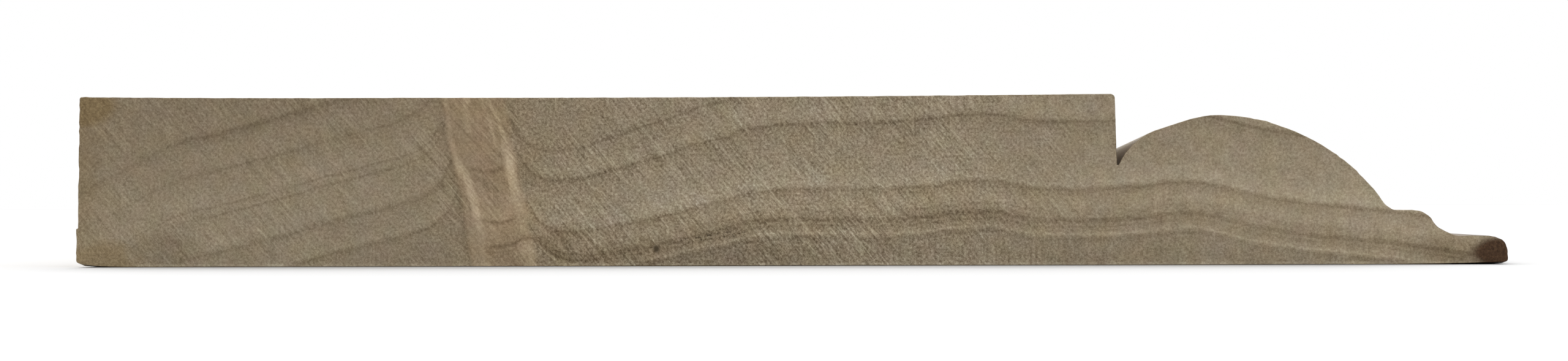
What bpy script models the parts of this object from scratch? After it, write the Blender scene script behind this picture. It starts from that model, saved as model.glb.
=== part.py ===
"""One length of solid wooden skirting board, lying on its back.

+X runs across the board from the square floor edge to the moulded top edge, Y runs along
the board, and +Z points out of the wall face towards the room. The origin is in the middle
of the wall face. From the floor edge the show face is flat, drops into a deep quirk, climbs
again as an ovolo, steps down over a narrow shelf and a small ogee, and ends in a thin lip.
"""
import bpy
import bmesh
from math import acos, ceil, cos, pi, radians, sin, sqrt, tan

# Board
LENGTH = 1.000
WIDTH = 0.169
THICKNESS = 0.020

# Quirk, between the flat face and the ovolo
QUIRK_DEPTH = 0.0083
QUIRK_FLOOR = 0.0002
QUIRK_DRAFT = radians(1.6)
FACE_CORNER_RADIUS = 0.00055

# Ovolo: a steep flank rounding into a gentle slope, a crest and a long round
FLANK_ANGLE = radians(60.0)
RIDGE_RADIUS = 0.0078
SLOPE_ANGLE = radians(18.0)
SLOPE_RUN = 0.00615
CREST_DROP = 0.00254
CREST_RADIUS = 0.0123
OVOLO_RADIUS = 0.0240
OVOLO_JOIN_ANGLE = radians(2.8)
FOOT_RADIUS = 0.0018

# Shelf, ogee and lip, with heights above the wall face
SHELF_HEIGHT = 0.0063
SHELF_FLAT = 0.0019
SHOULDER_RADIUS = 0.0025
COVE_RADIUS = 0.0045
LIP_HEIGHT = 0.00327
LIP_FLAT = 0.0029
NOSE_RADIUS = 0.0021

# Largest turn of one flat step along a round stretch
ARC_STEP = radians(2.5)

# Wood, as seen on the sawn end
WOOD_COLOUR = (0.254, 0.205, 0.133, 1.0)
WOOD_ROUGHNESS = 0.72
WOOD_METALLIC = 0.0


def arc(centre, radius, start, end):
    """Points on an arc. Angles are measured from +Z, positive towards +X."""
    steps = max(2, ceil(abs(end - start) / ARC_STEP))
    points = []
    for step in range(steps + 1):
        angle = start + (end - start) * step / steps
        points.append((centre[0] + radius * sin(angle), centre[1] + radius * cos(angle)))
    return points


def lip_points(edge):
    """Ogee, flat lip and rounded nose, from the shelf to the top edge."""
    nose_centre = (edge - NOSE_RADIUS, LIP_HEIGHT - NOSE_RADIUS)
    sweep = SHOULDER_RADIUS + COVE_RADIUS
    turn = acos(1.0 - (SHELF_HEIGHT - LIP_HEIGHT) / sweep)
    cove_centre = (nose_centre[0] - LIP_FLAT, LIP_HEIGHT + COVE_RADIUS)
    shoulder_centre = (cove_centre[0] - sweep * sin(turn), SHELF_HEIGHT - SHOULDER_RADIUS)
    points = arc(shoulder_centre, SHOULDER_RADIUS, 0.0, turn)
    points += arc(cove_centre, COVE_RADIUS, pi + turn, pi)[1:]
    points += arc(nose_centre, NOSE_RADIUS, 0.0, pi / 2)
    return points, shoulder_centre[0]


def ovolo_points(foot_x, crest_height):
    """Slope, crest, long round and foot, ending level with the shelf at foot_x."""
    join = (sin(OVOLO_JOIN_ANGLE), cos(OVOLO_JOIN_ANGLE))
    offset = OVOLO_RADIUS - CREST_RADIUS
    round_z = crest_height - CREST_RADIUS - offset * join[1]
    rise = SHELF_HEIGHT + FOOT_RADIUS - round_z
    reach = OVOLO_RADIUS + FOOT_RADIUS
    round_x = foot_x - sqrt(reach ** 2 - rise ** 2)
    crest_centre = (round_x + offset * join[0], round_z + offset * join[1])
    foot_turn = acos(rise / reach)
    foot_centre = (foot_x, SHELF_HEIGHT + FOOT_RADIUS)
    points = arc(crest_centre, CREST_RADIUS, -SLOPE_ANGLE, OVOLO_JOIN_ANGLE)
    points += arc((round_x, round_z), OVOLO_RADIUS, OVOLO_JOIN_ANGLE, foot_turn)[1:]
    points += arc(foot_centre, FOOT_RADIUS, pi + foot_turn, pi)[1:]
    return points


def quirk_points(slope_top):
    """Face corner, step down into the quirk, steep flank and ridge below slope_top."""
    ridge = (slope_top[0] - SLOPE_RUN, slope_top[1] - SLOPE_RUN * tan(SLOPE_ANGLE))
    half_turn = (FLANK_ANGLE - SLOPE_ANGLE) / 2
    ridge_run = RIDGE_RADIUS * tan(half_turn)
    ridge_start = (ridge[0] + ridge_run * cos(SLOPE_ANGLE), ridge[1] + ridge_run * sin(SLOPE_ANGLE))
    ridge_centre = (
        ridge_start[0] + RIDGE_RADIUS * sin(SLOPE_ANGLE),
        ridge_start[1] - RIDGE_RADIUS * cos(SLOPE_ANGLE),
    )
    floor_z = THICKNESS - QUIRK_DEPTH
    flank_foot = ridge[0] - (ridge[1] - floor_z) / tan(FLANK_ANGLE)
    step_foot = flank_foot - QUIRK_FLOOR
    corner_turn = pi / 2 - QUIRK_DRAFT
    step_top = step_foot - QUIRK_DEPTH * tan(QUIRK_DRAFT)
    corner_centre = (
        step_top - FACE_CORNER_RADIUS * tan(corner_turn / 2),
        THICKNESS - FACE_CORNER_RADIUS,
    )
    points = arc(corner_centre, FACE_CORNER_RADIUS, 0.0, corner_turn)
    points += [(step_foot, floor_z), (flank_foot, floor_z)]
    points += arc(ridge_centre, RIDGE_RADIUS, -FLANK_ANGLE, -SLOPE_ANGLE)
    return points


def board_outline():
    """Closed outline of the sawn end, clockwise from the back of the floor edge."""
    floor_x = -WIDTH / 2
    top_x = WIDTH / 2
    lip, shelf_end = lip_points(top_x)
    ovolo = ovolo_points(shelf_end - SHELF_FLAT, THICKNESS - CREST_DROP)
    quirk = quirk_points(ovolo[0])
    square = [(floor_x, 0.0), (floor_x, THICKNESS)]
    return square + quirk + ovolo + lip + [(top_x, 0.0)]


def wood_material():
    material = bpy.data.materials.new("bare_wood")
    material.use_nodes = True
    shader = material.node_tree.nodes["Principled BSDF"]
    shader.inputs["Base Color"].default_value = WOOD_COLOUR
    shader.inputs["Roughness"].default_value = WOOD_ROUGHNESS
    shader.inputs["Metallic"].default_value = WOOD_METALLIC
    return material


def skirting_board():
    """The outline as one face at the near end, extruded along the board."""
    mesh = bpy.data.meshes.new("skirting_board")
    shape = bmesh.new()
    near_end = -LENGTH / 2
    corners = [shape.verts.new((x, near_end, z)) for x, z in board_outline()]
    end_face = shape.faces.new(corners)
    swept = bmesh.ops.extrude_face_region(shape, geom=[end_face])
    far_verts = [item for item in swept["geom"] if isinstance(item, bmesh.types.BMVert)]
    bmesh.ops.translate(shape, verts=far_verts, vec=(0.0, LENGTH, 0.0))
    bmesh.ops.recalc_face_normals(shape, faces=shape.faces)
    shape.to_mesh(mesh)
    shape.free()
    mesh.shade_smooth()
    mesh.set_sharp_from_angle(angle=radians(20.0))
    mesh.materials.append(wood_material())
    board = bpy.data.objects.new("skirting_board", mesh)
    bpy.context.scene.collection.objects.link(board)
    return board


def main():
    for existing in list(bpy.data.objects):
        bpy.data.objects.remove(existing, do_unlink=True)
    skirting_board()


main()
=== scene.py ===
"""Finish and stage for one length of bare hardwood skirting board.

The board lies on its back. X runs across it from the floor edge to the moulded top edge,
Y along it and Z out of the wall face. The near end is freshly sawn, so the growth rings,
a branch that crosses the board and the marks of the saw all show there.
"""
from math import cos, exp, pi, radians, sin

import bmesh
import bpy
from bpy.props import FloatProperty, FloatVectorProperty, PointerProperty
from mathutils import Matrix, Vector, noise


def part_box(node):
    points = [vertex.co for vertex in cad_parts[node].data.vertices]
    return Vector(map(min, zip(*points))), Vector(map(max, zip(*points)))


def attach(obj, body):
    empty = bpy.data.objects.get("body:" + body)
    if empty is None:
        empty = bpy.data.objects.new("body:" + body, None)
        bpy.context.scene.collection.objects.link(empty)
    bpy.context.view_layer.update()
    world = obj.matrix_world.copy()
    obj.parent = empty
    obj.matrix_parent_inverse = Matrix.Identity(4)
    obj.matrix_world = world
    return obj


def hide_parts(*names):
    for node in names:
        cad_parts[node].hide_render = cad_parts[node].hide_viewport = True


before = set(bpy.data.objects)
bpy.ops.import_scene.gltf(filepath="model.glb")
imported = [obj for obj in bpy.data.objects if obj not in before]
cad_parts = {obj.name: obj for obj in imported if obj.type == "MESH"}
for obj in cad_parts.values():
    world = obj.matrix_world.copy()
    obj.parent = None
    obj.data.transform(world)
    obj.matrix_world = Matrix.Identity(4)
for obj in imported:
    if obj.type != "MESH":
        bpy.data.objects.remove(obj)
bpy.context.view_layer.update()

bl_info = {
    "name": "Skirting board",
    "version": (1, 0, 0),
    "blender": (4, 5, 0),
    "location": "3D View > Sidebar > Skirting",
    "description": "Adds a sawn and planed hardwood skirting board and a plain studio stage",
    "category": "Add Mesh",
}

NODE = "skirting_board"
LOW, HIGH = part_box(NODE)
NEAR_END = LOW.y
FAR_END = HIGH.y
FLOOR_EDGE = LOW.x
WIDTH = HIGH.x - LOW.x
THICKNESS = HIGH.z - LOW.z
MM = 0.001


class BoardShape(bpy.types.PropertyGroup):
    arris: FloatProperty(
        name="Arris", description="Width taken off the board's three square long edges",
        default=0.00025, min=0.0, subtype="DISTANCE", unit="LENGTH")
    sawn_rim: FloatProperty(
        name="Sawn rim", description="Width of the worn rim around each sawn end",
        default=0.0001, min=0.0, subtype="DISTANCE", unit="LENGTH")
    end_cell: FloatProperty(
        name="End cell", description="Size of the mesh cells on the sawn ends",
        default=0.0005, min=0.0002, subtype="DISTANCE", unit="LENGTH")
    collar: FloatProperty(
        name="Collar", description="Length of the first strip behind each sawn end",
        default=0.003, min=0.001, subtype="DISTANCE", unit="LENGTH")
    station: FloatProperty(
        name="Station", description="Distance between the cuts along the board",
        default=0.025, min=0.005, subtype="DISTANCE", unit="LENGTH")
    saw_wave: FloatProperty(
        name="Saw wave", description="Depth of the waves that the saw left on the ends",
        default=0.00004, min=0.0, subtype="DISTANCE", unit="LENGTH")
    heel_height: FloatProperty(
        name="Heel height", description="Height of the strip that stands proud on the floor edge",
        default=0.0045, min=0.0, subtype="DISTANCE", unit="LENGTH")
    heel_step: FloatProperty(
        name="Heel step", description="How far the floor edge just above the heel is set back",
        default=0.00022, min=0.0, subtype="DISTANCE", unit="LENGTH")
    edge_lean: FloatProperty(
        name="Edge lean", description="How much further back the floor edge is at the show face",
        default=0.00026, min=0.0, subtype="DISTANCE", unit="LENGTH")
    fray: FloatProperty(
        name="Fray", description="Height of the ragged rim of the near end on the moulded side",
        default=0.00016, min=0.0, subtype="DISTANCE", unit="LENGTH")
    heel_ease: FloatProperty(
        name="Heel ease", description="How far the back corner of the floor edge is worn up",
        default=0.0006, min=0.0, subtype="DISTANCE", unit="LENGTH")
    lip_lift: FloatProperty(
        name="Lip lift", description="How far the underside rises at the tip of the lip",
        default=0.00028, min=0.0, subtype="DISTANCE", unit="LENGTH")
    lip_nose: FloatProperty(
        name="Lip nose", description="How far the nose of the lip is filled out towards a corner",
        default=0.0001, min=0.0, subtype="DISTANCE", unit="LENGTH")
    quirk_shift: FloatProperty(
        name="Quirk shift", description="How far the quirk stands from its place in the CAD",
        default=0.00016, min=0.0, subtype="DISTANCE", unit="LENGTH")
    face_rise: FloatProperty(
        name="Face rise", description="How far the cupped show face rises at the floor edge",
        default=0.0003, min=0.0, subtype="DISTANCE", unit="LENGTH")
    face_hollow: FloatProperty(
        name="Face hollow", description="How far the cupped show face sinks in its middle",
        default=0.00012, min=0.0, subtype="DISTANCE", unit="LENGTH")


class WoodColours(bpy.types.PropertyGroup):
    sawn: FloatVectorProperty(
        name="Sawn end", description="End grain between the rings",
        default=(0.274, 0.2205, 0.147), min=0.0, max=1.0, subtype="COLOR")
    planed: FloatVectorProperty(
        name="Planed face", description="Planed long grain between the rings",
        default=(0.36, 0.286, 0.181), min=0.0, max=1.0, subtype="COLOR")
    branch: FloatVectorProperty(
        name="Branch", description="Tint of the wood inside the branch",
        default=(1.13, 1.085, 1.065), min=0.0, max=2.0, subtype="COLOR")
    stain: FloatVectorProperty(
        name="Stain", description="Tint of the ochre stains at the floor edge",
        default=(0.87, 0.785, 0.6), min=0.0, max=2.0, subtype="COLOR")
    streak: FloatVectorProperty(
        name="Dark streak", description="Brown streak in the tip of the lip",
        default=(0.061, 0.031, 0.0145), min=0.0, max=1.0, subtype="COLOR")
    gum: FloatVectorProperty(
        name="Gum", description="Gum pockets near the back",
        default=(0.066, 0.046, 0.025), min=0.0, max=1.0, subtype="COLOR")


class StageSettings(bpy.types.PropertyGroup):
    camera_place: FloatVectorProperty(
        name="Camera place", description="Where the camera stands",
        default=(0.025, NEAR_END - 0.390, 0.007), subtype="TRANSLATION", unit="LENGTH")
    camera_turn: FloatVectorProperty(
        name="Camera turn", description="Turn to the left, tilt up and roll of the camera",
        default=(radians(3.6295), radians(0.4412), radians(-0.1966)), subtype="EULER")
    lens: FloatProperty(
        name="Lens", description="Focal length on a 36 mm wide sensor",
        default=76.144, min=1.0, subtype="DISTANCE_CAMERA")
    floor_colour: FloatVectorProperty(
        name="Floor colour", description="Pale floor under the board",
        default=(0.68, 0.68, 0.68), min=0.0, max=1.0, subtype="COLOR")
    room_light: FloatProperty(
        name="Room light", description="Strength of the even light from all around",
        default=1.0, min=0.0)
    back_light: FloatProperty(
        name="Back light", description="Strength of the broad soft light above and behind",
        default=2.4, min=0.0)
    back_light_turn: FloatVectorProperty(
        name="Back light turn", description="Turn of the light above and behind",
        default=(radians(-50.0), 0.0, radians(22.0)), subtype="EULER")
    back_light_spread: FloatProperty(
        name="Back light spread", description="Width of the soft light as seen from the board",
        default=radians(70.0), min=0.0, max=pi, subtype="ANGLE", unit="ROTATION")


# All places below are in millimetres from the floor edge, above the back or in from the near
# end. A span of four says where it starts, is full, starts to fade and is gone; one of two,
# where it is nothing and where it is full.
# Ring lines on the near end. Right of the branch every line is this one, moved up or down.
RIGHT_MASTER = (
    (42, 2.0), (52, 2.6), (58, 3.6), (62, 4.3), (66, 5.1), (70, 5.9), (74, 7.0), (78, 7.85),
    (82, 8.85), (86, 9.05), (95, 9.05), (101, 9.35), (105, 9.85), (108, 10.0), (111, 9.65),
    (115, 9.05), (119, 8.95), (124, 9.1), (128, 9.4), (132, 9.8), (135, 9.4), (138, 8.6),
    (142, 7.8), (147, 7.1), (152, 6.65), (157, 6.1), (163, 5.2), (169, 4.4),
)
# Left of the branch the lines climb towards it.
LEFT_MASTER = (
    (0, -5.4), (5, -2.9), (10, -0.3), (13, 0.9), (17, 1.75), (22, 3.0), (26, 4.05),
    (30, 5.2), (35, 6.45), (40, 7.67), (46, 9.3), (52, 10.8), (60, 12.6),
)
# Tone of the wood by height above the master line. A ring starts pale and ends in a thin
# dark line.
RIGHT_RINGS = (
    (-10, .93), (-8.4, .91), (-7.4, .905), (-6.4, .91), (-6.1, .86), (-5.85, .89),
    (-5.6, .955), (-5.4, 1.06), (-5.25, 1.0), (-5.1, .97), (-4.7, .94), (-4.5, .875),
    (-4.25, .94), (-4.1, .91), (-3.9, .84), (-3.6, .86), (-3.35, .95), (-2.9, .97),
    (-2.65, .95), (-2.4, 1.0), (-1.8, 1.015), (-1.1, .985), (-0.5, .95), (-0.15, .875),
    (0.1, .96), (0.35, 1.045), (0.8, 1.05), (1.6, 1.03), (2.6, 1.0), (4.4, 1.0), (5.5, .99),
    (6.6, .97), (7.3, .945), (7.55, .925), (7.75, .84), (7.95, .90), (8.15, .985), (8.6, 1.02),
    (9.3, 1.025), (10.1, 1.0), (12.0, .975), (12.4, .87), (12.65, .955), (13.2, .985),
    (14.0, .99),
)
LEFT_RINGS = (
    (-7, .95), (-5, .955), (-4.3, .935), (-3.95, .87), (-3.65, .96), (-3.3, 1.02),
    (-2.8, .995), (-1.4, .975), (-0.5, .955), (-0.15, .885), (0.15, .94), (0.5, 1.005),
    (1.2, 1.015), (2.2, 1.0), (3.6, 1.0), (4.2, .99), (4.42, .905), (4.65, 1.0),
    (5.2, 1.005), (5.45, .93), (5.7, 1.01), (6.8, 1.025), (7.6, 1.0), (8.8, .99),
    (9.45, .965), (9.7, .915), (9.95, .97), (10.4, .99), (12.0, .985), (13.0, .96), (13.7, .92),
    (14.05, .85), (14.35, .90), (14.6, .955), (16, .95), (18.5, .935), (19.7, .905), (20.1, .94),
    (24, .95),
)
# The branch is a band that leans across the board.
BRANCH_FOOT = 47.45
BRANCH_LEAN = -0.197
BRANCH_HALF = 4.0
BRANCH_DEPTH = 7.0
# Tone across it, by distance from its left side.
BRANCH_ACROSS = (
    (-1.2, 1.0), (-0.4, .97), (0.0, .91), (0.4, .96), (0.8, 1.0), (7.6, 1.0), (8.1, .97),
    (8.6, .98), (9.4, 1.0),
)
# Its pale streaks: distance from the left side, half width and strength, each by height.
BRANCH_STREAKS = (
    (((0, 2.0), (5, 1.9), (7, 1.8), (9, 1.5), (11, 1.1), (13, 0.6), (17, 0.5), (20, 0.8)),
     ((0, .5), (5, .52), (9, .54), (11, .52), (14, .46), (17, .36), (20, .35)),
     ((0, .03), (3, .06), (5, .13), (9, .22), (11.5, .20), (13, .14), (16, .085), (20, .06))),
    (((0, 7.6), (5, 7.5), (7.5, 7.0), (12, 6.9), (14.5, 6.9), (17, 6.5), (20, 6.0)),
     ((0, .9), (5, .9), (7.5, .6), (9.5, .50), (12, .60), (14, .48), (16, .27), (20, .2)),
     ((0, .02), (4, .05), (7, .09), (9.5, .21), (12, .26), (14, .17), (16, .13), (20, .12))),
    (((0, 3.0), (16, 2.8), (20, 3.3)), ((0, .3), (20, .4)),
     ((0, .0), (14.5, .0), (16.5, .09), (20, .10))),
    (((0, 5.6), (13, 5.9), (16, 5.5), (20, 5.1)), ((0, .2), (16, .22), (20, .26)),
     ((0, .0), (12.5, .0), (15.0, .10), (17.5, .12), (20, .10))),
)
# Tone along it, by height above the back at its middle.
BRANCH_ALONG = (
    (0, .89), (1.4, .905), (4.6, .975), (4.9, .93), (5.15, .80), (5.5, 1.0), (6.3, 1.02),
    (8.3, .97), (9.2, .935), (10.7, .92), (11.2, .80), (11.6, .96), (13, .98), (17, .985),
    (18.2, .96), (19, .95), (20, .99),
)
BRANCH_SAG = 0.11
# Where its own wood takes over and where the tones along it show, from its left side.
BRANCH_INSIDE = (-0.2, 0.5, 7.4, 8.2)
BRANCH_MIDDLE = (1.5, 2.6, 5.8, 6.8)
# How far its sides waver, and how fast it parts the two families of rings along the board.
BRANCH_WOBBLE = 0.9
BRANCH_SPREAD = 0.35
# A wavy dark line below it and right of it, its tone by height, and its span and fading.
WAVY_LINE = (
    (44, 2.3), (49.5, 2.25), (52, 2.5), (53, 2.9), (54, 3.35), (55, 3.1), (56, 2.3),
    (57, 1.5), (58, 0.95), (60, 0.65), (64, 0.9),
)
WAVY_TONE = (
    (-3.0, 1.0), (-0.85, 1.0), (-0.65, .94), (-0.45, 1.03), (-0.25, .95), (0.0, .81), (0.25, .93),
    (0.5, 1.0), (3.0, 1.0),
)
WAVY_SPAN = (48.5, 50.0, 60.0, 64.0)
WAVY_FADE = (6.0, 2.0)
# How far the rings climb beside the branch, how much more right of it and how soon.
RING_CLIMB = 3.7
RIGHT_CLIMB_SHARE = 1.3
RING_REACH = 1.65
# Left of here the rings crowd together, more and more over a run and up to a limit.
CROWDING_START = 66.0
CROWDING_RUN = 12.0
CROWDING_LIMIT = 1.6
CROWDING_SHARE = 0.16
# Middle tone of the rings, and how their contrast comes and goes around it.
RING_LEVEL = 0.97
RING_CONTRAST = 1.15
RING_FADING = 1.3
# How far the rings wander away from the near end, and where that is in full swing.
FIGURE_LOOSE = 180.0
RING_SWAY = 11.0
RING_SWING = 26.0
RING_RIPPLE = 0.45
# The rings near the back are warmer, and so is the wood around the branch.
WARM_RINGS = (-6.2, -5.3, -0.6, 0.6)
WARM_RINGS_SHARE = 0.4
WARM_AROUND = 7.2
WARM_AROUND_SHARE = 0.75
# How strongly the ring lines left of the branch show.
LEFT_CONTRAST = ((0, .3), (8, .55), (15, .9), (22, 1.1), (34, 1.0), (48, 1.0))
# Soft patches and single scratches of the near end: centre, half size, climb to the right
# and what they add to the tone.
PATCHES = (
    ((72.0, 1.0), (13.0, 2.2), 0.0, -.07), ((71.0, 4.6), (9.0, 1.6), 0.0, -.04),
    ((58.6, 3.3), (2.2, 1.6), 0.0, -.11), ((10.8, 2.1), (3.4, 1.7), 0.0, -.10),
    ((162.5, 1.7), (3.2, 1.5), 0.0, -.09), ((107.0, 5.2), (6.5, 1.5), 0.0, -.04),
    ((47.9, 14.6), (3.2, 0.17), -1.05, -.08), ((49.3, 14.6), (2.4, 0.13), -1.05, -.07),
    ((50.0, 8.5), (1.9, 0.45), -1.25, -.07), ((54.9, 8.2), (2.2, 0.15), -1.45, -.05),
    ((54.5, 1.3), (1.6, 1.3), 0.0, .05), ((49.6, 1.6), (0.6, 0.3), 0.0, -.08),
)
# Painted light: the near end is painted paler towards the back, against the shade that the floor
# puts there.
END_PAINTED_LIGHT = ((0, 1.14), (2, 1.13), (5, 1.10), (8, 1.075), (12, 1.035), (16, 1.01), (20, 1.0))
# Broad drift of the tone from the floor edge to the moulded edge.
DRIFT = (
    (0, .905), (12, .925), (40, .925), (60, .95), (75, .975), (95, .98), (112, .975),
    (126, .985), (145, 1.005), (158, .985), (169, .96),
)
# How strongly the saw marks show.
SAW_STRENGTH = (
    (0, .7), (20, .7), (40, .8), (46, 1.15), (54, 1.1), (66, 1.4), (92, 1.4), (108, 1.15),
    (118, .75), (124, .45), (130, .2), (169, .2),
)
SAW_ANGLE = radians(40.0)
# Powers that turn a tone into red, green and blue shares of light.
TONE_POWERS = (1.95, 2.2, 2.5)
WARM_TINT = (1.03, 0.985, 0.92)
# The drawn figure sits this far in from the floor edge, and not at all at the moulded edge.
FIGURE_SHIFT = 0.28
# How coarse the sawn grain looks.
GRAIN_STRENGTH = ((0, 1.0), (40, 1.05), (58, 1.6), (100, 1.7), (112, 1.4), (125, 1.1), (169, 1.0))
GRAIN_LOST_IN_BRANCH = 0.35
MOTTLE_STRENGTH = ((0, .14), (115, .14), (125, .22), (169, .22))
# Shares of the fine patterns in the tone.
SAWN_SPECKLE = 0.8
SAWN_CLOUDS = 0.07
SAWN_MARKS = 0.3
PLANED_SPECKLE = 0.24
PLANED_CLOUDS = 0.1
# Short upright ribs where the cutters chattered: where they are across the board, how close
# to the back and to the show face, and their strength.
RIB_SPAN = (90.0, 104.0, 112.0, 121.0)
RIB_BACK = (3.2, 1.0)
RIB_FACE = (17.8, 19.3)
RIB_STRENGTH = 0.45
# Painted highlight: a pale line along the worn back edge, where its arris would catch the light.
BACK_EDGE_HIGHLIGHT = (0.42, 0.22)
BACK_HIGHLIGHT_START = (4.0, 7.0)
BACK_HIGHLIGHT_STRENGTH = 0.1
# Marks of the near end, each as its centre and half size. They are gone a little further in.
MARKS_FADE = (8.0, 1.0)
CORNER_STAIN = ((1.2, 19.4), (3.2, 2.6))
FOOT_STAIN = ((2.6, 0.6), (4.4, 2.3))
FOOT_STAIN_STRENGTH = 0.75
EDGE_STAIN = (4.5, 0.4)
EDGE_STAIN_STRENGTH = 0.38
STAIN_RAGGED = 2.4
GUM_POCKET = ((69.45, 2.0), (0.36, 0.42))
GUM_ROW = ((76.5, 3.45), (5.2, 0.42))
GUM_ROW_CLIMB = 0.125
LIP_TIP = ((167.95, 1.35), (2.9, 1.75))
# On the long faces the dark tip runs on as a streak. The quirk is painted darker towards its floor
# as painted shade, and the top of the lip near the near end as painted shade over the light it
# catches.
STREAK_START = (164.9, 166.3)
STREAK_TOP = (4.0, 2.6)
STREAK_FADE = (95.0, 60.0)
QUIRK_SHADE_SPAN = (122.8, 123.3, 126.0, 129.5)
QUIRK_SHADE_FLOOR = (10.0, 11.0)
QUIRK_PAINTED_SHADE = ((11, .60), (12.5, .65), (15, .80), (17, .95), (20, 1.0))
LIP_SHADE_SPAN = (157.0, 162.0)
LIP_SHADE_FADE = (110.0, 20.0)
LIP_PAINTED_SHADE = 0.34
PLANER_PITCH = 2.4

# Wear of the shape, in millimetres. The back corners are worn most at the near end, and a
# share of that is left all along.
WEAR_REACH = 1.2
WEAR_LEFT = 0.08
# How deep the floor edge and its back corner are worn, and how far across the corner's goes.
EDGE_SKIN = 2.0
HEEL_REACH = 1.7
# Where the underside of the lip starts to rise, over what run, how curved and how deep.
LIP_START = 155.0
LIP_RUN = 14.0
LIP_CURVE = 1.6
LIP_SKIN = 2.5
# The filled out nose of the lip: middle, square of its reach and share on each axis.
NOSE_PLACE = (168.4, 2.6)
NOSE_REACH = 0.6
NOSE_SHARE = 0.6
# The stretch that moves with the quirk, with the runs over which it comes and goes.
QUIRK_MOVED = (121.0, 128.0)
QUIRK_RUNS = (1.5, 4.0)
QUIRK_BOTTOM = 9.0
QUIRK_RISE = 2.5
# The cupped face: how far in its rise goes, and the middle and half width of its hollow.
RISE_REACH = 40.0
HOLLOW_MIDDLE = 80.0
HOLLOW_HALF = 40.0
# The frayed rim: its length along the board, how far in it goes at the floor edge, where it
# starts on the moulded side, its least share and its depth at the back.
FRAY_LENGTH = 3.0
FRAY_EDGE = 3.0
FRAY_START = 136.0
FRAY_RUN = 8.0
FRAY_LEAST = 0.3
FRAY_SKIN = 0.6
# Only what is this close to the plane of a sawn end takes its waves, which are long along the
# saw marks.
SAWN_SKIN = 0.02
SAW_WAVE_SCALE = (0.45, 0.05)

# Places across the board where the mesh is cut so that the wear can bend it.
FACE_CUTS = (0.5, 1.0, 1.6, 2.4, 3.4, 5.0, 8.0, 13.0, 20.0, 32.0, 48.0, 64.0, 80.0, 96.0, 112.0)
LIP_CUTS = (155.0, 158.0, 161.0, 164.0, 166.5)
# Half the height of the step above the heel.
HEEL_STEP_HALF = 0.1

# Layout of the UV map: each sawn end has a row of its own and the long faces share the rest.
MAP_MARGIN = 0.006
END_ROW = 0.17
END_TALL = 0.15
SIDES_START = 0.36
SIDES_TALL = 0.63


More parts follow.
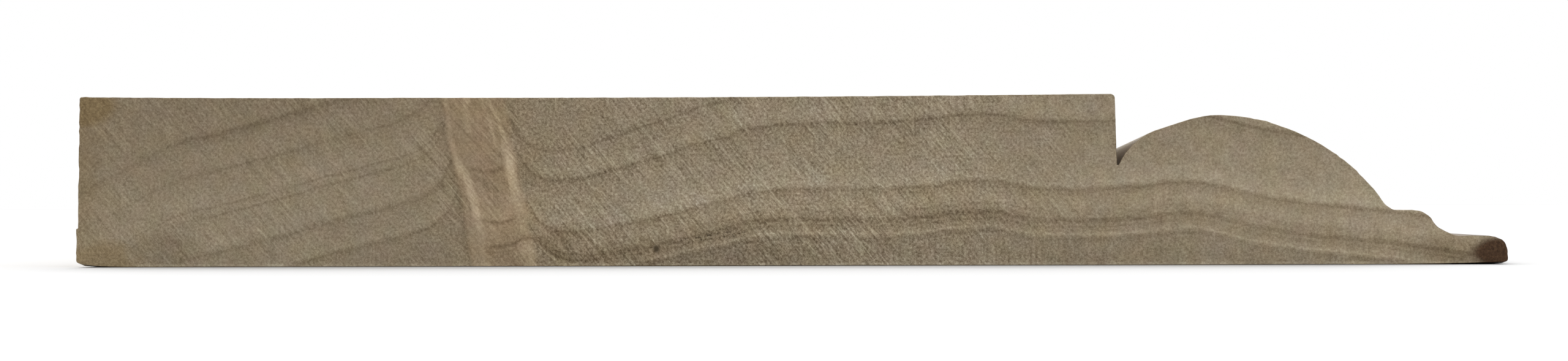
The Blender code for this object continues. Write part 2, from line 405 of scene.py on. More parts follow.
class Graph:
    """Short ways to add linked nodes to one shader tree."""

    def __init__(self, tree):
        self.tree = tree

    def add(self, kind, **settings):
        node = self.tree.nodes.new(kind)
        for key, value in settings.items():
            setattr(node, key, value)
        return node

    def put(self, socket, value):
        if isinstance(value, bpy.types.NodeSocket):
            self.tree.links.new(value, socket)
        else:
            socket.default_value = value

    def fill(self, node, **inputs):
        for label, value in inputs.items():
            self.put(node.inputs[label], value)

    def math(self, operation, first, second=0.0, third=0.0):
        node = self.add("ShaderNodeMath", operation=operation)
        for socket, value in zip(node.inputs, (first, second, third)):
            self.put(socket, value)
        return node.outputs[0]

    def plus(self, first, second):
        return self.math("ADD", first, second)

    def minus(self, first, second):
        return self.math("SUBTRACT", first, second)

    def times(self, first, second):
        return self.math("MULTIPLY", first, second)

    def over(self, first, second):
        return self.math("DIVIDE", first, second)

    def scaled(self, value, factor, offset):
        return self.math("MULTIPLY_ADD", value, factor, offset)

    def ramp(self, value, low, high, smooth=True):
        """0 at low, 1 at high, also with low above high."""
        node = self.add("ShaderNodeMapRange")
        node.interpolation_type = "SMOOTHSTEP" if smooth else "LINEAR"
        self.put(node.inputs["Value"], value)
        self.put(node.inputs["From Min"], low)
        self.put(node.inputs["From Max"], high)
        return node.outputs["Result"]

    def between(self, value, start, full, fading, gone):
        """0 up to start, 1 from full to fading and 0 again from gone on."""
        return self.times(self.ramp(value, start, full), self.ramp(value, gone, fading))

    def stretch(self, vector, scale, turn=(0.0, 0.0, 0.0), place=(0.0, 0.0, 0.0)):
        node = self.add("ShaderNodeMapping")
        self.put(node.inputs["Vector"], vector)
        node.inputs["Scale"].default_value = scale
        node.inputs["Rotation"].default_value = turn
        node.inputs["Location"].default_value = place
        return node.outputs[0]

    def noise(self, vector, scale, detail, roughness=0.5):
        """Noise from about -0.5 to 0.5."""
        node = self.add("ShaderNodeTexNoise")
        self.put(node.inputs["Vector"], vector)
        node.inputs["Scale"].default_value = scale
        node.inputs["Detail"].default_value = detail
        node.inputs["Roughness"].default_value = roughness
        return self.minus(node.outputs["Fac"], 0.5)

    def streaks(self, vector, scale, detail=1.0, place=(0.0, 0.0, 0.0)):
        """Noise of another fineness in each direction."""
        return self.noise(self.stretch(vector, scale, place=place), 1.0, detail)

    def curve(self, value, points, smooth=True):
        """A drawn curve through points of real values."""
        low_x, high_x = points[0][0], points[-1][0]
        low_y = min(y for x, y in points)
        high_y = max(y for x, y in points)
        node = self.add("ShaderNodeFloatCurve")
        line = node.mapping.curves[0]
        spots = [((x - low_x) / (high_x - low_x), (y - low_y) / (high_y - low_y)) for x, y in points]
        line.points[0].location = spots[0]
        line.points[1].location = spots[-1]
        for spot in spots[1:-1]:
            line.points.new(*spot)
        for point in line.points:
            point.handle_type = "AUTO_CLAMPED" if smooth else "VECTOR"
        node.mapping.update()
        self.put(node.inputs["Value"], self.ramp(value, low_x, high_x, smooth=False))
        return self.scaled(node.outputs[0], high_y - low_y, low_y)

    def blend(self, share, first, second):
        """Number between first and second."""
        node = self.add("ShaderNodeMix", data_type="FLOAT")
        self.put(node.inputs[0], share)
        self.put(node.inputs[2], first)
        self.put(node.inputs[3], second)
        return node.outputs[0]

    def tint(self, share, first, second, how="MIX"):
        """Colour first, changed towards second by share."""
        node = self.add("ShaderNodeMix", data_type="RGBA", blend_type=how)
        self.put(node.inputs[0], share)
        self.put(node.inputs[6], first)
        self.put(node.inputs[7], second)
        return node.outputs[2]

    def shade(self, colour, tone):
        """Colour times tone, a share of brightness as the eye sees it; dark wood is warmer."""
        lift = self.add("ShaderNodeCombineColor")
        for socket, power in zip(lift.inputs, TONE_POWERS):
            self.put(socket, self.math("POWER", tone, power))
        return self.tint(1.0, colour, lift.outputs[0], "MULTIPLY")

    def times_colour(self, share, colour, factors):
        """Colour times the three factors, by share."""
        return self.tint(share, colour, (*factors, 1.0), "MULTIPLY")

    def spot(self, across, height, centre, size, soft=0.5, lean=0.0):
        """1 inside an ellipse and 0 outside, with a soft rim; it climbs by lean to the right."""
        off = self.minus(across, centre[0])
        x = self.over(off, size[0])
        z = self.minus(self.minus(height, centre[1]), self.times(off, lean))
        z = self.over(z, size[1])
        far = self.math("SQRT", self.plus(self.times(x, x), self.times(z, z)))
        return self.ramp(far, 1.0 + soft, 1.0 - soft)


def rgba(colour):
    return (*colour, 1.0)


def new_group(name, inputs, outputs):
    """Shader group with a position, named numbers in and out, its graph and its end nodes."""
    tree = bpy.data.node_groups.new(name, "ShaderNodeTree")
    sockets = [("Position", "INPUT", "NodeSocketVector")]
    sockets += [(label, "INPUT", "NodeSocketFloat") for label in inputs]
    sockets += [(label, "OUTPUT", "NodeSocketFloat") for label in outputs]
    for label, side, kind in sockets:
        tree.interface.new_socket(name=label, in_out=side, socket_type=kind)
    graph = Graph(tree)
    start = graph.add("NodeGroupInput")
    finish = graph.add("NodeGroupOutput")
    return graph, start, finish


def split(graph, vector):
    node = graph.add("ShaderNodeSeparateXYZ")
    graph.put(node.inputs[0], vector)
    return node.outputs[0], node.outputs[1], node.outputs[2]


def growth_rings_group():
    """Rings, branch and broad tone of the whole log, from a position in millimetres."""
    graph, start, finish = new_group("Growth Rings", (), ("Tone", "Branch", "Warmth"))
    position = start.outputs["Position"]
    across, along, height = split(graph, position)
    # The rings wander along the board, but not at the near end, where they are drawn.
    away = graph.ramp(along, 0.0, FIGURE_LOOSE)
    sway = graph.streaks(position, (0.012, 0.0045, 0.02))
    swing = graph.streaks(position, (0.006, 0.003, 0.01), place=(7, 3, 5))
    ripple = graph.streaks(position, (0.35, 0.03, 0.35), detail=2.0)
    height_in = graph.plus(height, graph.times(graph.times(sway, away), RING_SWAY))
    height_in = graph.plus(height_in, graph.times(ripple, RING_RIPPLE))
    across_in = graph.plus(across, graph.times(graph.times(swing, away), RING_SWING))
    # Place across the branch, measured from its left side.
    left_side = graph.scaled(height, BRANCH_LEAN, BRANCH_FOOT)
    wobble = graph.streaks(position, (0.25, 0.25, 0.25))
    in_band = graph.plus(graph.minus(across, left_side), graph.times(wobble, BRANCH_WOBBLE))
    off_middle = graph.minus(in_band, BRANCH_HALF)
    share = graph.over(off_middle, BRANCH_HALF)
    deep = graph.over(along, BRANCH_DEPTH)
    reach = graph.math("SQRT", graph.plus(graph.times(share, share), graph.times(deep, deep)))
    side = graph.math("SIGN", off_middle)
    band = graph.scaled(graph.times(side, reach), BRANCH_HALF, BRANCH_HALF)
    beside_left = graph.math("MAXIMUM", graph.times(band, -1.0), 0.0)
    beside_right = graph.math("MAXIMUM", graph.minus(band, 2 * BRANCH_HALF), 0.0)
    beside = graph.plus(beside_left, beside_right)
    climb = graph.math("EXPONENT", graph.over(beside, -RING_REACH))
    climb = graph.times(climb, RING_CLIMB)
    # Height above each family's master line.
    right = graph.minus(height_in, graph.curve(across_in, RIGHT_MASTER))
    right = graph.minus(right, graph.times(climb, RIGHT_CLIMB_SHARE))
    crowding = graph.over(graph.minus(across_in, CROWDING_START), -CROWDING_RUN)
    crowding = graph.math("MINIMUM", graph.math("EXPONENT", crowding), CROWDING_LIMIT)
    right = graph.times(right, graph.scaled(crowding, CROWDING_SHARE, 1.0))
    left = graph.minus(graph.minus(height_in, graph.curve(across_in, LEFT_MASTER)), climb)
    half = graph.math("MINIMUM", along, 60.0)
    half = graph.scaled(half, BRANCH_SPREAD, BRANCH_HALF)
    family = graph.ramp(graph.over(off_middle, half), -1.0, 1.0)
    right_tone = graph.curve(right, RIGHT_RINGS, smooth=False)
    left_tone = graph.minus(graph.curve(left, LEFT_RINGS, smooth=False), RING_LEVEL)
    left_tone = graph.times(left_tone, graph.curve(across_in, LEFT_CONTRAST))
    left_tone = graph.plus(left_tone, RING_LEVEL)
    tone = graph.blend(family, left_tone, right_tone)
    # The rings come and go along their length.
    fading = graph.streaks(position, (0.09, 0.02, 0.16), place=(2, 9, 4))
    contrast = graph.scaled(fading, RING_FADING, RING_CONTRAST)
    tone = graph.scaled(graph.minus(tone, RING_LEVEL), contrast, RING_LEVEL)
    # Inside the branch its own tones take over.
    inside = graph.between(band, *BRANCH_INSIDE)
    crossing = graph.scaled(graph.times(off_middle, off_middle), -BRANCH_SAG, height)
    along_tone = graph.curve(crossing, BRANCH_ALONG, smooth=False)
    branch_tone = graph.blend(graph.between(band, *BRANCH_MIDDLE), RING_LEVEL, along_tone)
    tone = graph.blend(inside, tone, branch_tone)
    tone = graph.times(tone, graph.curve(band, BRANCH_ACROSS))
    for place, half_width, strength in BRANCH_STREAKS:
        off = graph.math("ABSOLUTE", graph.minus(band, graph.curve(height, place)))
        off = graph.over(off, graph.curve(height, half_width))
        streak = graph.times(graph.ramp(off, 1.6, 0.3), graph.curve(height, strength))
        tone = graph.plus(tone, streak)
    wavy = graph.minus(height, graph.curve(across, WAVY_LINE))
    wavy_reach = graph.times(graph.between(across, *WAVY_SPAN), graph.ramp(along, *WAVY_FADE))
    wavy_dark = graph.curve(wavy, WAVY_TONE, smooth=False)
    tone = graph.times(tone, graph.blend(wavy_reach, 1.0, wavy_dark))
    tone = graph.times(tone, graph.curve(across_in, DRIFT))
    # Warmer wood in and around the branch and in the rings nearest the back.
    around = graph.over(graph.minus(off_middle, 1.0), WARM_AROUND)
    around = graph.math("EXPONENT", graph.times(graph.times(around, around), -1.0))
    around = graph.times(around, graph.ramp(deep, 3.0, 0.5))
    low = graph.times(graph.between(right, *WARM_RINGS), family)
    warmth = graph.times(around, WARM_AROUND_SHARE)
    warmth = graph.plus(warmth, graph.times(low, WARM_RINGS_SHARE))
    graph.fill(finish, Tone=tone, Branch=inside, Warmth=warmth)
    return graph.tree


def fibres_group():
    """Fine speckle of the cut vessels, drawn out along the board, and soft clouds."""
    graph, start, finish = new_group(
        "Fibres", ("Draw",), ("Speckle", "Mottle", "Clouds", "Blush", "Yellowing"))
    position = start.outputs["Position"]
    across, along, height = split(graph, position)
    drawn = graph.add("ShaderNodeCombineXYZ")
    graph.put(drawn.inputs[0], across)
    graph.put(drawn.inputs[1], graph.times(along, start.outputs["Draw"]))
    graph.put(drawn.inputs[2], height)
    speckle = graph.noise(drawn.outputs[0], 3.1, 2.0, 0.9)
    mottle = graph.noise(drawn.outputs[0], 0.75, 1.0, 0.6)
    clouds = graph.streaks(position, (0.12, 0.01, 0.16), detail=2.0)
    blush = graph.streaks(position, (0.4, 0.02, 0.4), place=(5, 1, 8))
    yellowing = graph.streaks(position, (0.3, 0.02, 0.3), place=(1, 6, 2))
    graph.fill(
        finish, Speckle=speckle, Mottle=mottle, Clouds=clouds, Blush=blush, Yellowing=yellowing)
    return graph.tree


def saw_marks_group():
    """Slanting scratches of the saw, from a position in millimetres."""
    graph, start, finish = new_group("Saw Marks", (), ("Marks",))
    position = start.outputs["Position"]
    turned = graph.stretch(position, (1.0, 1.0, 1.0), turn=(0.0, SAW_ANGLE, 0.0))
    broad = graph.streaks(turned, (1.9, 1.0, 0.16))
    fine = graph.streaks(turned, (4.6, 1.0, 0.6), place=(3, 0, 9))
    scratch = graph.streaks(turned, (3.4, 1.0, 0.15), place=(8, 0, 1))
    scratch = graph.ramp(scratch, 0.02, 0.15)
    patches = graph.ramp(graph.streaks(position, (0.14, 0.1, 0.14)), -0.2, 0.15)
    marks = graph.plus(graph.times(broad, 0.7), fine)
    marks = graph.plus(marks, graph.times(scratch, 0.22))
    marks = graph.times(marks, graph.scaled(patches, 0.8, 0.35))
    graph.fill(finish, Marks=marks)
    return graph.tree


def millimetres(graph):
    """Position in millimetres from the floor edge, the near end and the back."""
    place = graph.add("ShaderNodeTexCoord")
    scale = 1.0 / MM
    wide = scale * (1.0 + FIGURE_SHIFT * MM / WIDTH)
    shift = (-FLOOR_EDGE * wide - FIGURE_SHIFT, -NEAR_END * scale, -LOW.z * scale)
    return graph.stretch(place.outputs["Object"], (wide, scale, scale), place=shift)


def use_group(graph, name, **inputs):
    node = graph.add("ShaderNodeGroup", node_tree=bpy.data.node_groups[name])
    graph.fill(node, **inputs)
    return node.outputs


def new_material(name, roughness, specular):
    material = bpy.data.materials.new(name)
    material.use_nodes = True
    shader = material.node_tree.nodes["Principled BSDF"]
    shader.inputs["Roughness"].default_value = roughness
    shader.inputs["Specular IOR Level"].default_value = specular
    return material, Graph(material.node_tree), shader


def relief(graph, shader, height, depth):
    bump = graph.add("ShaderNodeBump")
    bump.inputs["Distance"].default_value = depth
    graph.put(bump.inputs["Height"], height)
    graph.put(shader.inputs["Normal"], bump.outputs[0])


def wood_colour(graph, base, warm, rings, fibres):
    """Base colour with the warmer branch and a slight drift between grey, pink and yellow."""
    colour = graph.times_colour(rings["Branch"], rgba(base), warm)
    colour = graph.times_colour(rings["Warmth"], colour, WARM_TINT)
    pink = graph.scaled(fibres["Blush"], 0.13, 1.0)
    blue = graph.scaled(fibres["Yellowing"], -0.22, 1.0)
    drift = graph.add("ShaderNodeCombineColor")
    graph.put(drift.inputs[0], pink)
    drift.inputs[1].default_value = 1.0
    graph.put(drift.inputs[2], blue)
    return graph.tint(1.0, colour, drift.outputs[0], "MULTIPLY")


def sawn_end_material(colours):
    """End grain: rings, branch, saw marks, stains, gum and the dark tip of the lip."""
    material, graph, shader = new_material("sawn_end_grain", 0.85, 0.25)
    position = millimetres(graph)
    across, along, height = split(graph, position)
    rings = use_group(graph, "Growth Rings", Position=position)
    fibres = use_group(graph, "Fibres", Position=position, Draw=0.05)
    saw = use_group(graph, "Saw Marks", Position=position)
    strength = graph.curve(across, SAW_STRENGTH)
    marks = graph.times(saw["Marks"], strength)
    grain = graph.times(fibres["Speckle"], graph.curve(across, GRAIN_STRENGTH))
    kept = graph.scaled(rings["Branch"], -GRAIN_LOST_IN_BRANCH, 1.0)
    grain = graph.times(grain, kept)
    tone = graph.plus(rings["Tone"], graph.times(grain, SAWN_SPECKLE))
    mottled = graph.curve(across, MOTTLE_STRENGTH)
    tone = graph.plus(tone, graph.times(fibres["Mottle"], mottled))
    tone = graph.plus(tone, graph.times(fibres["Clouds"], SAWN_CLOUDS))
    tone = graph.plus(tone, graph.times(marks, SAWN_MARKS))
    near = graph.ramp(along, *MARKS_FADE)
    for centre, size, climb, change in PATCHES:
        patch = graph.times(graph.spot(across, height, centre, size, lean=climb), near)
        tone = graph.plus(tone, graph.times(patch, change))
    ribs = graph.streaks(position, (2.3, 1.0, 0.12), place=(6, 0, 2))
    outer = graph.plus(graph.ramp(height, *RIB_BACK), graph.ramp(height, *RIB_FACE))
    ribbed = graph.times(graph.between(across, *RIB_SPAN), RIB_STRENGTH)
    tone = graph.plus(tone, graph.times(graph.times(ribs, outer), ribbed))
    # Painted highlight: a pale line along the back edge.
    arris = graph.times(graph.ramp(height, *BACK_EDGE_HIGHLIGHT), graph.ramp(across, *BACK_HIGHLIGHT_START))
    arris = graph.times(arris, graph.ramp(fibres["Clouds"], -0.25, 0.05))
    tone = graph.plus(tone, graph.times(arris, BACK_HIGHLIGHT_STRENGTH))
    # Painted light: the near end is lighter towards the back, next to the floor.
    tone = graph.times(tone, graph.curve(height, END_PAINTED_LIGHT))
    colour = wood_colour(graph, colours.sawn, colours.branch, rings, fibres)
    ragged = graph.streaks(position, (0.5, 0.05, 0.5), detail=2.0)
    ragged = graph.times(ragged, STAIN_RAGGED)
    rough_across = graph.plus(across, ragged)
    rough_height = graph.plus(height, graph.times(ragged, 0.8))
    stains = graph.spot(rough_across, rough_height, *CORNER_STAIN, 0.35)
    foot = graph.spot(rough_across, rough_height, *FOOT_STAIN, 0.4)
    foot = graph.times(foot, FOOT_STAIN_STRENGTH)
    edge = graph.times(graph.ramp(rough_across, *EDGE_STAIN), EDGE_STAIN_STRENGTH)
    stains = graph.math("MAXIMUM", stains, graph.math("MAXIMUM", foot, edge))
    stained = [a * b for a, b in zip(colours.sawn, colours.stain)]
    colour = graph.tint(graph.times(stains, near), colour, rgba(stained))
    colour = graph.shade(colour, tone)
    gum = graph.times(graph.spot(across, height, *GUM_POCKET, 0.6), 0.95)
    vessels = graph.streaks(position, (2.6, 0.2, 2.6), place=(4, 4, 4))
    vessels = graph.ramp(vessels, 0.02, 0.15)
    row = graph.spot(across, height, *GUM_ROW, lean=GUM_ROW_CLIMB)
    gum = graph.math("MAXIMUM", gum, graph.times(graph.times(vessels, row), 0.9))
    colour = graph.tint(graph.times(gum, near), colour, rgba(colours.gum))
    tip_edge = graph.plus(across, graph.times(ragged, 0.35))
    tip = graph.spot(tip_edge, height, *LIP_TIP, 0.3)
    burnt = graph.shade(rgba(colours.streak), graph.scaled(grain, 1.6, 1.0))
    colour = graph.tint(graph.times(tip, near), colour, burnt)
    graph.put(shader.inputs["Base Color"], colour)
    lift = graph.plus(graph.times(fibres["Speckle"], 0.5), marks)
    relief(graph, shader, lift, 0.00006)
    return material


def planed_material(colours):
    """Long grain: the same rings seen from the side, fine streaks and planer ripple."""
    material, graph, shader = new_material("planed_long_grain", 0.6, 0.2)
    position = millimetres(graph)
    across, along, height = split(graph, position)
    rings = use_group(graph, "Growth Rings", Position=position)
    fibres = use_group(graph, "Fibres", Position=position, Draw=0.035)
    tone = graph.plus(rings["Tone"], graph.times(fibres["Speckle"], PLANED_SPECKLE))
    tone = graph.plus(tone, graph.times(fibres["Clouds"], PLANED_CLOUDS))
    # Painted shade: the quirk is darkened, most at its floor.
    quirk = graph.times(graph.between(across, *QUIRK_SHADE_SPAN), graph.ramp(height, *QUIRK_SHADE_FLOOR))
    tone = graph.times(tone, graph.blend(quirk, 1.0, graph.curve(height, QUIRK_PAINTED_SHADE)))
    # Painted shade: the top of the lip near the near end is darkened against the light it catches.
    lip = graph.times(graph.ramp(across, *LIP_SHADE_SPAN), graph.ramp(height, 0.5, 1.5))
    lip = graph.times(lip, graph.ramp(along, *LIP_SHADE_FADE))
    tone = graph.times(tone, graph.scaled(lip, -LIP_PAINTED_SHADE, 1.0))
    colour = wood_colour(graph, colours.planed, colours.branch, rings, fibres)
    colour = graph.shade(colour, tone)
    streak = graph.times(graph.ramp(across, *STREAK_START), graph.ramp(height, *STREAK_TOP))
    fade = graph.ramp(graph.plus(along, graph.times(across, 0.3)), *STREAK_FADE)
    colour = graph.tint(graph.times(streak, fade), colour, rgba(colours.streak))
    graph.put(shader.inputs["Base Color"], colour)
    ripple = graph.math("SINE", graph.times(along, 2 * pi / PLANER_PITCH))
    lift = graph.plus(fibres["Speckle"], graph.times(ripple, 0.12))
    relief(graph, shader, lift, 0.00003)
    return material


def cut(shape, faces, place, normal):
    """Cuts the given faces along one plane."""
    edges = list({edge for face in faces for edge in face.edges})
    verts = list({vert for face in faces for vert in face.verts})
    bmesh.ops.bisect_plane(
        shape, geom=verts + edges + list(faces), dist=1e-7, plane_co=place, plane_no=normal)


def end_faces(shape, sign, depth=0.0):
    """The flat of one sawn end, with the rim and the strip behind it up to depth."""
    plane = HIGH.y if sign > 0 else LOW.y
    found = []
    for face in shape.faces:
        if face.normal.y * sign > 0.999:
            found.append(face)
        elif depth and abs(face.calc_center_median().y - plane) < depth:
            found.append(face)
    return found


def new_object(name, data):
    made = bpy.data.objects.new(name, data)
    bpy.context.scene.collection.objects.link(made)
    return made


def bevel(shape, edges, width, segments):
    bmesh.ops.bevel(
        shape, geom=edges, offset=width, offset_type="OFFSET", affect="EDGES",
        segments=segments, profile=0.5, material=-1, clamp_overlap=False)


def square_long_edges(shape):
    """The two long edges of the floor edge and the back edge of the lip."""
    corners = ((LOW.x, LOW.z), (LOW.x, HIGH.z), (HIGH.x, LOW.z))
    found = []
    for edge in shape.edges:
        first, second = edge.verts
        if abs(first.co.y - second.co.y) < WIDTH:
            continue
        if any((first.co.xz - Vector(corner)).length < 1e-5 for corner in corners):
            found.append(edge)
    return found


def steps(low, high, size):
    """Evenly spaced places between low and high, both left out."""
    count = max(1, round((high - low) / size))
    return [low + (high - low) * index / count for index in range(1, count)]


def fray_noise(x, z, place):
    """Coarse and fine noise round the rim of the near end."""
    coarse = noise.noise(Vector((0.5 * x, 0.5 * z, place)))
    fine = noise.noise(Vector((1.6 * x, 1.6 * z, place + 9.0)))
    return 0.6 * coarse + 0.5 * fine


def worn_edges(moved, x, y, z, wear):
    """Sets the floor edge back, lifts the back corners and fills out the nose of the lip."""
    waver = 1.0 + 0.25 * noise.noise(Vector((0.01 * y, 3.1, 0.0)))
    above_heel = (z * MM - wear.heel_height) / (THICKNESS - wear.heel_height)
    if above_heel > 0.0 and x < EDGE_SKIN:
        set_back = wear.heel_step + wear.edge_lean * above_heel
        moved.x += set_back * waver * (1.0 - x / EDGE_SKIN)
    # The back corners are worn most where the saw came out.
    worn = WEAR_LEFT + (1.0 - WEAR_LEFT) * exp(-y / WEAR_REACH)
    if z < EDGE_SKIN:
        lift = wear.heel_ease * worn * waver * exp(-x / HEEL_REACH)
        moved.z += lift * (1.0 - z / EDGE_SKIN)
    if x > LIP_START and z < LIP_SKIN:
        lift = wear.lip_lift * worn * ((x - LIP_START) / LIP_RUN) ** LIP_CURVE
        moved.z += lift * (1.0 - z / LIP_SKIN)
    off_nose = (x - NOSE_PLACE[0]) ** 2 + (z - NOSE_PLACE[1]) ** 2
    nose = wear.lip_nose * NOSE_SHARE * exp(-off_nose / NOSE_REACH)
    moved.x += nose
    moved.z += nose


def moved_face(moved, x, z, wear):
    """Puts the quirk in its true place and cups the show face."""
    first, last = QUIRK_MOVED
    if first < x < last and z > QUIRK_BOTTOM:
        beside = min(1.0, (x - first) / QUIRK_RUNS[0], (last - x) / QUIRK_RUNS[1])
        moved.x += wear.quirk_shift * beside * min(1.0, (z - QUIRK_BOTTOM) / QUIRK_RISE)
    share = z * MM / THICKNESS
    if x < RISE_REACH:
        moved.z += wear.face_rise * (1.0 - x / RISE_REACH) ** 2 * share
    off_hollow = (x - HOLLOW_MIDDLE) / HOLLOW_HALF
    if abs(off_hollow) < 1.0:
        moved.z -= wear.face_hollow * (1.0 - off_hollow ** 2) * share


def sawn_ends(moved, x, y, z, wear):
    """Frays the rim of the near end and lays saw waves on both ends."""
    if y < FRAY_LENGTH:
        ragged = max(FRAY_LEAST, min(1.0, (x - FRAY_START) / FRAY_RUN), 1.0 - x / FRAY_EDGE)
        ragged *= wear.fray * (1.0 - y / FRAY_LENGTH) * min(1.0, z / FRAY_SKIN)
        moved.x += ragged * fray_noise(x, z, 0.0)
        moved.z += ragged * fray_noise(x, z, 40.0)
    length = (FAR_END - NEAR_END) / MM
    if min(y, length - y) < SAWN_SKIN:
        across_saw = x * cos(SAW_ANGLE) + z * sin(SAW_ANGLE)
        along_saw = z * cos(SAW_ANGLE) - x * sin(SAW_ANGLE)
        place = (SAW_WAVE_SCALE[0] * across_saw, SAW_WAVE_SCALE[1] * along_saw, 5.0 * y)
        inward = 1.0 if y < length / 2 else -1.0
        moved.y += inward * wear.saw_wave * (0.6 + noise.noise(Vector(place)))


def weathered(point, wear):
    """The place of a point of the true board once planing, sawing and handling are told."""
    x = (point.x - FLOOR_EDGE) / MM
    y = (point.y - NEAR_END) / MM
    z = (point.z - LOW.z) / MM
    moved = point.copy()
    worn_edges(moved, x, y, z, wear)
    moved_face(moved, x, z, wear)
    sawn_ends(moved, x, y, z, wear)
    return moved


def unrolled(outline):
    """Distance round the profile for each place on it, by nearest stretch."""
    lengths = [0.0]
    for first, second in zip(outline, outline[1:] + outline[:1]):
        lengths.append(lengths[-1] + (second - first).length)

    def girth(x, z):
        best = None
        place = Vector((x, z))
        for index, first in enumerate(outline):
            second = outline[(index + 1) % len(outline)]
            line = second - first
            share = max(0.0, min(1.0, (place - first).dot(line) / line.length_squared))
            gap = (first + line * share - place).length
            if best is None or gap < best[0]:
                best = (gap, lengths[index] + line.length * share)
        return best[1] / lengths[-1]

    return girth


def lay_out_map(shape, outline):
    """UV map for the finish: the two sawn ends large, the long faces unrolled below."""
    layer = shape.loops.layers.uv.new("OFBake")
    girth = unrolled(outline)
    known = {}
    inner = 1.0 - 2 * MAP_MARGIN
    for face in shape.faces:
        turns = []
        for loop in face.loops:
            x, y, z = loop.vert.co
            if abs(face.normal.y) > 0.7:
                row = 0.0 if face.normal.y < 0 else END_ROW
                u = MAP_MARGIN + inner * (x - LOW.x) / WIDTH
                v = MAP_MARGIN + row + END_TALL * (z - LOW.z) / THICKNESS
            else:
                key = (round(x, 6), round(z, 6))
                if key not in known:
                    known[key] = girth(x, z)
                turns.append(known[key])
                u = MAP_MARGIN + inner * (y - NEAR_END) / (FAR_END - NEAR_END)
                v = known[key]
            loop[layer].uv = (u, v)
        if turns:
            wraps = max(turns) - min(turns) > 0.5
            for loop in face.loops:
                v = loop[layer].uv.y
                if wraps and v > 0.5:
                    v -= 1.0
                loop[layer].uv.y = SIDES_START + SIDES_TALL * v


def board_piece(settings, colours):
    """The CAD board with worn edges, sawn ends and its wood."""
    shape = bmesh.new()
    shape.from_mesh(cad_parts[NODE].data)
    bmesh.ops.remove_doubles(shape, verts=shape.verts, dist=1e-6)
    bmesh.ops.dissolve_limit(
        shape, angle_limit=radians(0.4), verts=shape.verts, edges=shape.edges)
    near = end_faces(shape, -1.0)
    outline = [vert.co.xz for vert in near[0].verts]
    bevel(shape, square_long_edges(shape), settings.arris, 2)
    rims = {edge for sign in (-1.0, 1.0) for face in end_faces(shape, sign) for edge in face.edges}
    bevel(shape, list(rims), settings.sawn_rim, 2)
    shape.normal_update()
    along = [NEAR_END + settings.collar, FAR_END - settings.collar]
    along += steps(NEAR_END + settings.collar, FAR_END - settings.collar, settings.station)
    for y in along:
        cut(shape, shape.faces[:], (0.0, y, 0.0), (0.0, 1.0, 0.0))
    for x in FACE_CUTS + LIP_CUTS:
        cut(shape, shape.faces[:], (FLOOR_EDGE + x * MM, 0.0, 0.0), (1.0, 0.0, 0.0))
    for side in (-HEEL_STEP_HALF, HEEL_STEP_HALF):
        floor_side = [face for face in shape.faces if face.calc_center_median().x < FLOOR_EDGE + MM]
        z = LOW.z + settings.heel_height + side * MM
        cut(shape, floor_side, (0.0, 0.0, z), (0.0, 0.0, 1.0))
    for sign, depth in ((-1.0, settings.collar), (1.0, 0.0)):
        for x in steps(LOW.x, HIGH.x, settings.end_cell):
            cut(shape, end_faces(shape, sign, depth), (x, 0.0, 0.0), (1.0, 0.0, 0.0))
        for z in steps(LOW.z, HIGH.z, settings.end_cell):
            cut(shape, end_faces(shape, sign, depth), (0.0, 0.0, z), (0.0, 0.0, 1.0))
    for face in shape.faces:
        face.material_index = 0 if abs(face.normal.y) > 0.5 else 1
        face.smooth = True
    lay_out_map(shape, outline)
    for vert in shape.verts:
        vert.co = weathered(vert.co, settings)
    mesh = bpy.data.meshes.new("skirting_board_wood")
    shape.to_mesh(mesh)
    shape.free()
    mesh.set_sharp_from_angle(angle=radians(20.0))
    mesh.materials.append(sawn_end_material(colours))
    mesh.materials.append(planed_material(colours))
    return new_object("skirting_board_wood", mesh)


class SKIRTING_OT_board(bpy.types.Operator):
    """Add the skirting board with its wood, worn edges and sawn ends"""
    bl_idname = "skirting.board"
    bl_label = "Skirting board"

    def execute(self, context):
        for make in (growth_rings_group, fibres_group, saw_marks_group):
            make()
        board = board_piece(context.scene.skirting_shape, context.scene.skirting_colours)
        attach(board, "root")
        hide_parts(NODE)
        return {"FINISHED"}


def back_light(stage):
    data = bpy.data.lights.new("back_light", "SUN")
    data.energy = stage.back_light
    data.angle = stage.back_light_spread
    light = new_object("back_light", data)
    light.rotation_euler = stage.back_light_turn


def pale_floor(colour):
    mesh = bpy.data.meshes.new("pale_floor")
    shape = bmesh.new()
    bmesh.ops.create_grid(shape, x_segments=1, y_segments=1, size=12.0)
    bmesh.ops.translate(shape, verts=shape.verts, vec=(0.0, 0.0, LOW.z - 0.05 * MM))
    shape.to_mesh(mesh)
    shape.free()
    material, graph, shader = new_material("pale_floor", 0.9, 0.1)
    shader.inputs["Base Color"].default_value = rgba(colour)
    mesh.materials.append(material)
    return new_object("pale_floor", mesh)


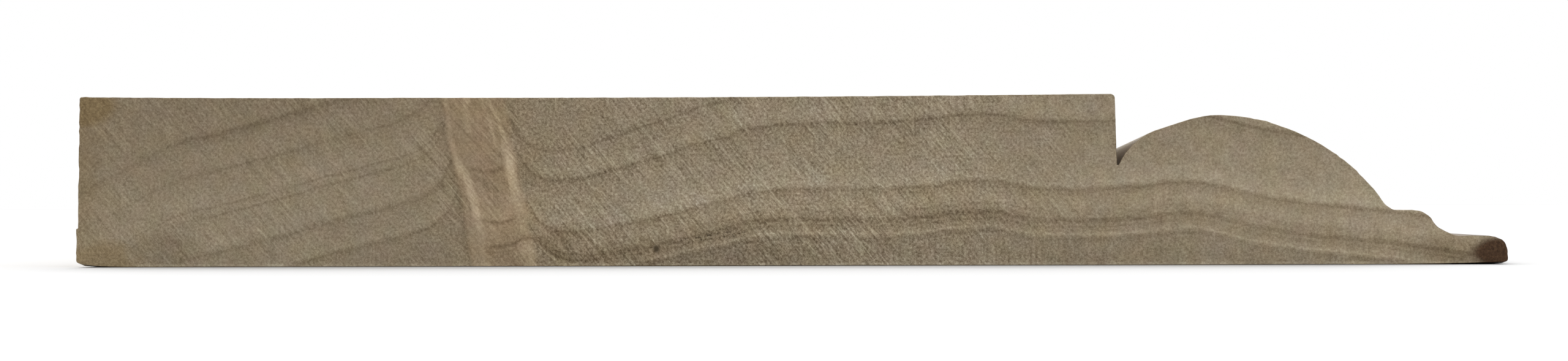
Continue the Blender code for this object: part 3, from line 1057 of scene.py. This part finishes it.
def studio_camera(stage):
    data = bpy.data.cameras.new("camera")
    data.sensor_width = 36.0
    data.sensor_fit = "HORIZONTAL"
    data.lens = stage.lens
    data.clip_start = 0.01
    camera = new_object("camera", data)
    turn, tilt, roll = stage.camera_turn
    camera.matrix_world = (
        Matrix.Translation(stage.camera_place) @ Matrix.Rotation(turn, 4, "Z")
        @ Matrix.Rotation(pi / 2 + tilt, 4, "X") @ Matrix.Rotation(roll, 4, "Z"))
    bpy.context.scene.camera = camera


class SKIRTING_OT_stage(bpy.types.Operator):
    """Add the pale floor, the soft lights and the camera"""
    bl_idname = "skirting.stage"
    bl_label = "Studio stage"

    def execute(self, context):
        stage = context.scene.skirting_stage
        pale_floor(stage.floor_colour)
        back_light(stage)
        world = bpy.data.worlds.new("even_room_light")
        world.use_nodes = True
        background = world.node_tree.nodes["Background"]
        background.inputs["Color"].default_value = (1.0, 1.0, 1.0, 1.0)
        background.inputs["Strength"].default_value = stage.room_light
        context.scene.world = world
        context.scene.view_settings.view_transform = "Standard"
        studio_camera(stage)
        return {"FINISHED"}


class SKIRTING_PT_panel(bpy.types.Panel):
    bl_label = "Skirting board"
    bl_space_type = "VIEW_3D"
    bl_region_type = "UI"
    bl_category = "Skirting"

    def draw(self, context):
        layout = self.layout
        for operator in OPERATORS:
            layout.operator(operator.bl_idname)


OPERATORS = (SKIRTING_OT_board, SKIRTING_OT_stage)
CLASSES = (BoardShape, WoodColours, StageSettings) + OPERATORS + (SKIRTING_PT_panel,)


def register():
    for each in CLASSES:
        bpy.utils.register_class(each)
    bpy.types.Scene.skirting_shape = PointerProperty(type=BoardShape)
    bpy.types.Scene.skirting_colours = PointerProperty(type=WoodColours)
    bpy.types.Scene.skirting_stage = PointerProperty(type=StageSettings)


def unregister():
    del bpy.types.Scene.skirting_stage
    del bpy.types.Scene.skirting_colours
    del bpy.types.Scene.skirting_shape
    for each in reversed(CLASSES):
        bpy.utils.unregister_class(each)


def main():
    register()
    bpy.ops.skirting.board()
    bpy.ops.skirting.stage()


if __name__ == "__main__":
    main()
